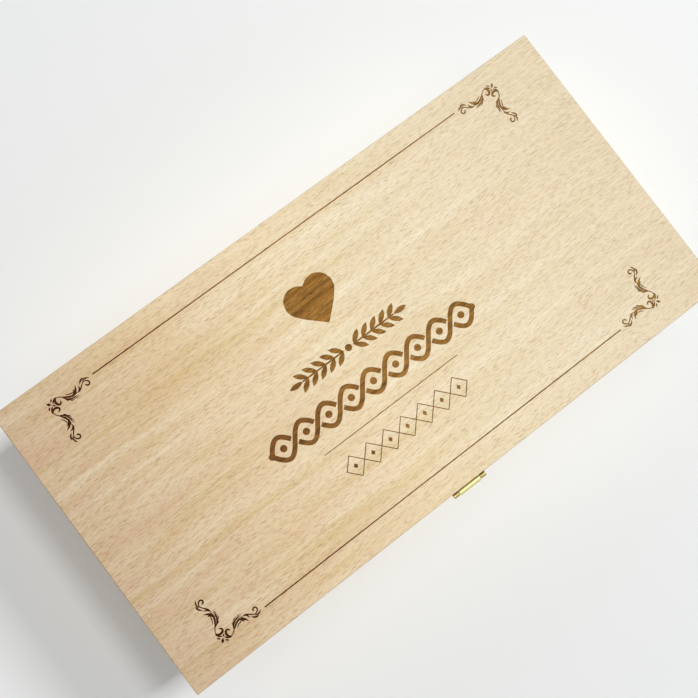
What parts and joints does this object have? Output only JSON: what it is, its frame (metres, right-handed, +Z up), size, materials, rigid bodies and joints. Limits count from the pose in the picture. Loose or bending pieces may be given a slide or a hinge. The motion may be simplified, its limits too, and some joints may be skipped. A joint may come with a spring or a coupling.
{
  "type": "wine box",
  "caption": "Flat hinged wine box of finger-jointed beech boards with plywood top and bottom, a divider between its bottle bays, brass butt hinges and a brass snap clasp.",
  "frame": {"origin": "centre of the underside, on the surface that the box stands on", "axes": "+X along the box's length, to the right as seen from the clasp; -Y towards the clasp, +Y towards the hinges; +Z up"},
  "size_m": [0.36, 0.1915, 0.1],
  "materials": {
    "beech_boards": "sanded, unfinished solid beech",
    "beech_plywood": "sanded beech plywood, laser engraved on the top",
    "brass_hardware": "bright pressed and drawn brass",
    "steel_wire": "bright steel wire"
  },
  "bodies": {
    "base": {"base_front_wall": "beech_boards", "base_back_wall": "beech_boards", "base_left_wall": "beech_boards", "base_right_wall": "beech_boards", "bottom_panel": "beech_plywood", "bottom_panel_pins": "steel_wire", "divider": "beech_plywood", "left_hinge_base_leaf": "brass_hardware", "left_hinge_base_screws": "brass_hardware", "left_hinge_pin": "steel_wire", "right_hinge_base_leaf": "brass_hardware", "right_hinge_base_screws": "brass_hardware", "right_hinge_pin": "steel_wire", "clasp_base_plate": "brass_hardware", "clasp_base_nails": "brass_hardware"},
    "lid": {"lid_front_rim": "beech_boards", "lid_back_rim": "beech_boards", "lid_left_rim": "beech_boards", "lid_right_rim": "beech_boards", "top_panel": "beech_plywood", "top_panel_pins": "steel_wire", "left_hinge_lid_leaf": "brass_hardware", "left_hinge_lid_screws": "brass_hardware", "right_hinge_lid_leaf": "brass_hardware", "right_hinge_lid_screws": "brass_hardware", "clasp_lid_plate": "brass_hardware", "clasp_pin": "brass_hardware", "clasp_lid_nails": "brass_hardware"},
    "clasp_tongue": {"clasp_tongue": "brass_hardware"}
  },
  "joints": [
    {"name": "lid_hinge", "type": "hinge", "parent": "base", "child": "lid", "pos_m": [0, 0.0923, 0.076], "axis": [-1, 0, 0], "range_deg": [0, 188]},
    {"name": "clasp_swing", "type": "hinge", "parent": "lid", "child": "clasp_tongue", "pos_m": [0, -0.0927, 0.091], "axis": [-1, 0, 0], "range_deg": [-4.57, 175]}
  ]
}
